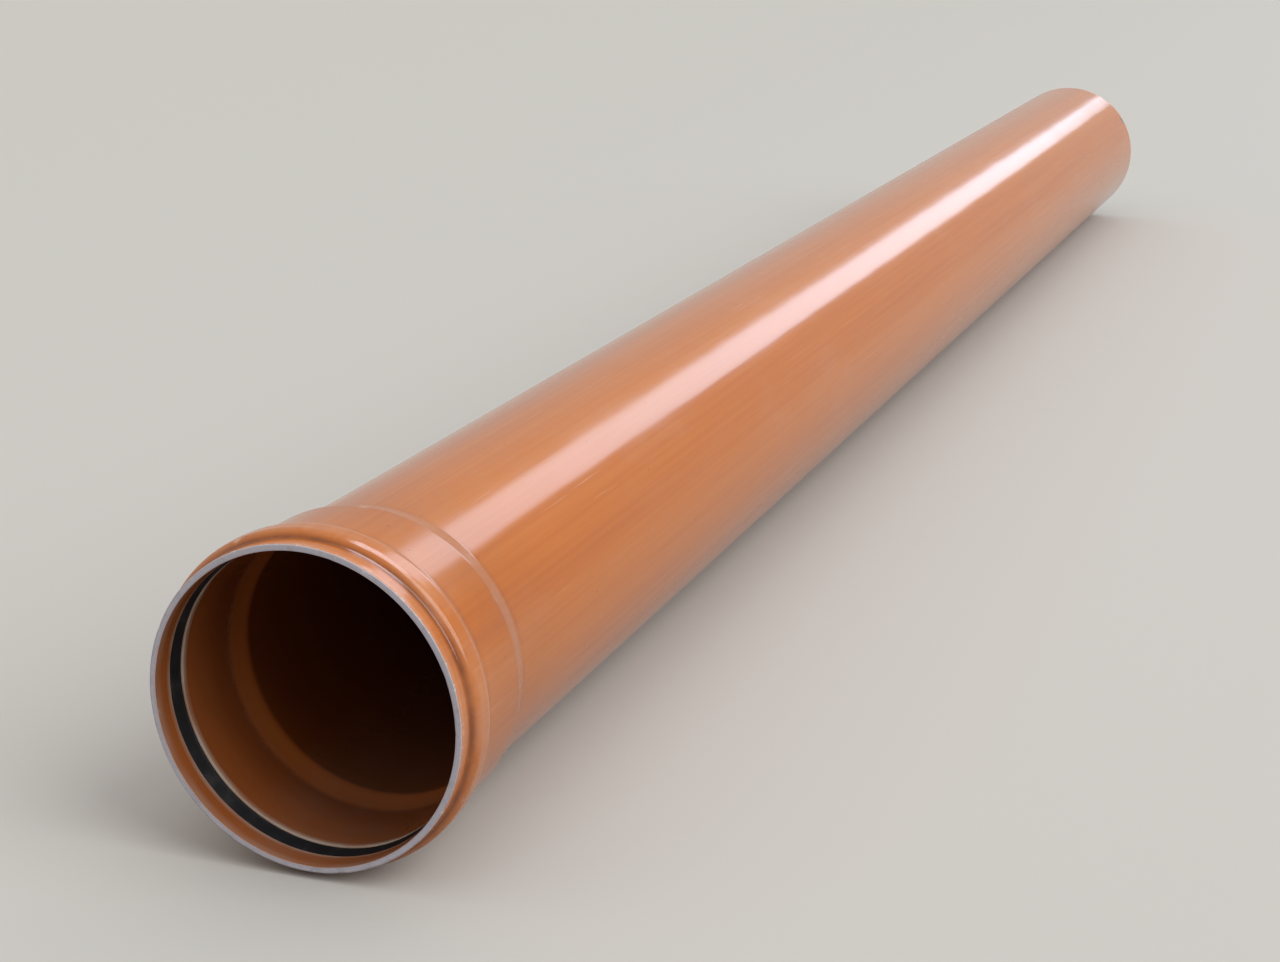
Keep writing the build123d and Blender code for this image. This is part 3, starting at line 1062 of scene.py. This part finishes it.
def lay_floor(sizes, studio):
    """
    The matt, pale floor.

    It touches the ridge and the end of the plain wall, so it slopes by the ridge's height over them.
    """
    ridge_place = -sizes.straight_bore - sizes.groove_width / 2
    end_place = sizes.laying_length - sizes.bevel_length
    slope = (sizes.ridge_radius - sizes.radius) / (end_place - ridge_place)
    side = studio.floor_reach * np.array([(-1, -1), (1, -1), (1, 1), (-1, 1)])
    height = -sizes.ridge_radius + (side[:, 1] - ridge_place) * slope
    floor = new_mesh("floor", np.column_stack([side, height]), [np.array([[0, 1, 2, 3]])])
    material, tree = new_material("pale_floor")[:2]
    paint = add(
        tree, "ShaderNodeMix",
        {"Factor": plain_rays(tree), "A": linear(studio.floor_bounce), "B": linear(studio.floor)},
        data_type="RGBA",
    )
    shader = add(tree, "ShaderNodeBsdfPrincipled", {"Base Color": paint, "Roughness": 0.9})
    add(tree, "ShaderNodeOutputMaterial", {"Surface": shader})
    floor.data.materials.append(material)


def light_sky(studio):
    """The sky, whose light grows from the horizon to overhead."""
    world = bpy.data.worlds.new("studio")
    world.use_nodes = True
    tree = world.node_tree
    tree.nodes.clear()
    height = add(tree, "ShaderNodeSeparateXYZ", {0: add(tree, "ShaderNodeTexCoord").outputs["Generated"]})
    light = add(
        tree, "ShaderNodeMapRange",
        {"Value": height.outputs["Z"], "To Min": studio.sky_low, "To Max": studio.sky_high},
    )
    level = add(tree, "ShaderNodeMix", {"Factor": plain_rays(tree), 2: light, 3: studio.backdrop})
    background = add(tree, "ShaderNodeBackground", {"Color": linear(studio.sky), "Strength": level})
    add(tree, "ShaderNodeOutputWorld", {"Surface": background})
    return world


def hang_lamps(scene, studio):
    """An even, soft key from the right, and two lamps over the pipe that only its gloss shows."""
    data = bpy.data.lights.new("key", "SUN")
    data.energy = studio.key_power
    data.angle = studio.key_angle
    key = bpy.data.objects.new("key", data)
    key.rotation_euler = (-Vector(studio.key_from)).to_track_quat("-Z", "Y").to_euler()
    scene.collection.objects.link(key)
    for name, power, size, place in (
        ("strip", studio.strip_power, studio.strip_size, studio.strip_place),
        ("overhead", studio.overhead_power, studio.overhead_size, studio.overhead_place),
    ):
        data = bpy.data.lights.new(name, "AREA")
        data.shape = "RECTANGLE"
        data.size, data.size_y = size
        data.energy = power
        data.color = linear(studio.gloss_tint)[:3]
        lamp = bpy.data.objects.new(name, data)
        lamp.location = place
        lamp.visible_camera = False
        lamp.visible_diffuse = False
        scene.collection.objects.link(lamp)


def new_camera(scene, studio):
    """The camera, which looks up the pipe from in front of its mouth."""
    data = bpy.data.cameras.new("camera")
    data.lens = studio.lens
    data.clip_end = 500
    camera = bpy.data.objects.new("camera", data)
    camera.location = studio.camera_place
    direction = Vector(studio.camera_aim) - Vector(studio.camera_place)
    camera.rotation_euler = direction.to_track_quat("-Z", "Y").to_euler()
    scene.collection.objects.link(camera)
    return camera


class PIPE_OT_set_studio(Operator):
    """Lay the floor that the ridge and the spigot rest on, and set the lamps and the camera"""

    bl_idname = "pipe.set_studio"
    bl_label = "Floor, lamps and camera"

    def execute(self, context):
        scene, settings = context.scene, context.scene.sewer_pipe
        lay_floor(settings.pipe, settings.studio)
        scene.world = light_sky(settings.studio)
        hang_lamps(scene, settings.studio)
        scene.camera = new_camera(scene, settings.studio)
        scene.view_settings.view_transform = "Standard"
        return {"FINISHED"}


class PIPE_PT_sidebar(Panel):
    """The pipe's pieces and main sizes"""

    bl_label = "PVC sewer pipe"
    bl_space_type = "VIEW_3D"
    bl_region_type = "UI"
    bl_category = "Pipe"

    def draw(self, context):
        settings = context.scene.sewer_pipe
        layout = self.layout
        for operator in OPERATORS:
            layout.operator(operator.bl_idname)
        for name in ("radius", "laying_length", "socket_depth", "segments"):
            layout.prop(settings.pipe, name)


OPERATORS = (PIPE_OT_turn_pipe, PIPE_OT_turn_seal, PIPE_OT_paint_mark, PIPE_OT_set_studio)
GROUPS = (
    PipeSizes, SealSizes, WearSettings, MarkSizes, FinishSettings, PatternSizes, StudioSettings, SewerPipe,
)
CLASSES = (*GROUPS, *OPERATORS, PIPE_PT_sidebar)


def register():
    for cls in CLASSES:
        bpy.utils.register_class(cls)
    bpy.types.Scene.sewer_pipe = PointerProperty(type=SewerPipe)


def unregister():
    del bpy.types.Scene.sewer_pipe
    for cls in reversed(CLASSES):
        bpy.utils.unregister_class(cls)


def main():
    """Makes every piece, then the studio."""
    register()
    bpy.ops.pipe.turn_pipe()
    bpy.ops.pipe.turn_seal()
    bpy.ops.pipe.paint_mark()
    bpy.ops.pipe.set_studio()


if __name__ == "__main__":
    main()
